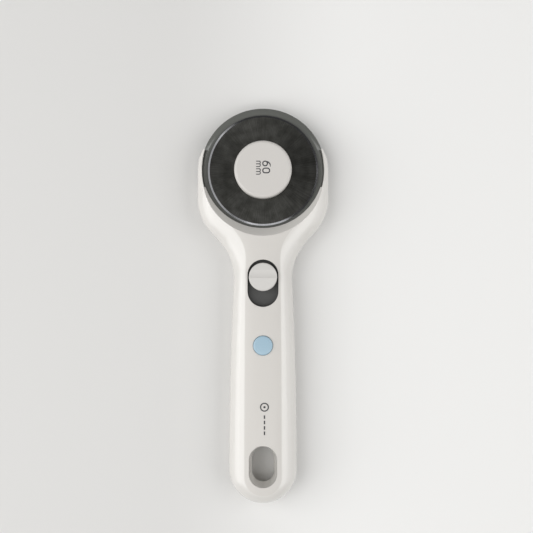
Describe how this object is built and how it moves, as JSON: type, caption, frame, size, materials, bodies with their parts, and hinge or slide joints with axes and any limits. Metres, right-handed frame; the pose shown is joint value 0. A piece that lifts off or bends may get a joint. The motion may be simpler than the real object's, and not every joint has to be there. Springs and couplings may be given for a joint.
{
  "type": "rotary cutter",
  "caption": "Hand-held rotary fabric cutter with a round blade, a smoke-coloured sliding guard, a thumb slide, a lock button, a blade nut and a hang hole.",
  "frame": {"origin": "centre of the outline on the plane of the rear face, which the cutter lies on", "axes": "+Y along the handle towards the blade head, +Z out of the blade and nut side, +X to the right seen from the blade side"},
  "size_m": [0.0716, 0.2156, 0.0236],
  "materials": {
    "shell": "off-white moulded plastic, glossy shoulders and a satin centre face",
    "nut": "off-white moulded plastic, satin",
    "thumb": "light grey moulded plastic, satin",
    "dark_slide": "dark grey moulded plastic, matt",
    "lock": "pale blue moulded plastic",
    "guard": "smoke-tinted clear plastic",
    "blade": "dark tool steel with a radial grind",
    "inner_steel": "plain steel",
    "brass": "turned brass",
    "ink": "dark grey marking"
  },
  "bodies": {
    "handle": {"front_shell": "shell", "rear_shell": "shell", "head_plate": "inner_steel", "spindle_bolt": "inner_steel", "spindle_bush": "brass", "detent_spring": "inner_steel", "detent_screw": "inner_steel", "lock_clip": "inner_steel", "casing_screws": "inner_steel", "handle_mark": "ink"},
    "guard_slider": {"blade_guard": "guard", "guard_rivets": "inner_steel", "slide_carriage": "dark_slide", "thumb_button": "thumb", "button_screw": "inner_steel"},
    "lock": {"lock_button": "lock", "lock_pin": "inner_steel", "lock_rear_cap": "lock"},
    "blade": {"rotary_blade": "blade"},
    "washer": {"spring_washer": "inner_steel"},
    "nut": {"nut_knob": "nut", "nut_insert": "brass", "size_mark": "ink"}
  },
  "joints": [
    {"name": "guard_slide", "type": "slide", "parent": "handle", "child": "guard_slider", "axis": [0, -1, 0], "range_m": [0, 0.008], "deforming": ["detent_spring"]},
    {"name": "lock_push", "type": "slide", "parent": "handle", "child": "lock", "axis": [0, 0, -1], "range_m": [0, 0.0025], "deforming": ["lock_clip"]},
    {"name": "blade_spin", "type": "hinge", "parent": "handle", "child": "blade", "pos_m": [0, 0.0737, 0.0146], "axis": [0, 0, 1], "continuous": true},
    {"name": "nut_lift", "type": "slide", "parent": "handle", "child": "washer", "axis": [0, 0, 1], "range_m": [0, 0.0061]},
    {"name": "nut_turn", "type": "hinge", "parent": "washer", "child": "nut", "pos_m": [0, 0.0737, 0.0195], "axis": [0, 0, 1], "range_deg": [0, 2160]}
  ],
  "couplings": [
    {"joint": "nut_lift", "follows": "nut_turn", "m_per_rad": 0.00015915}
  ]
}
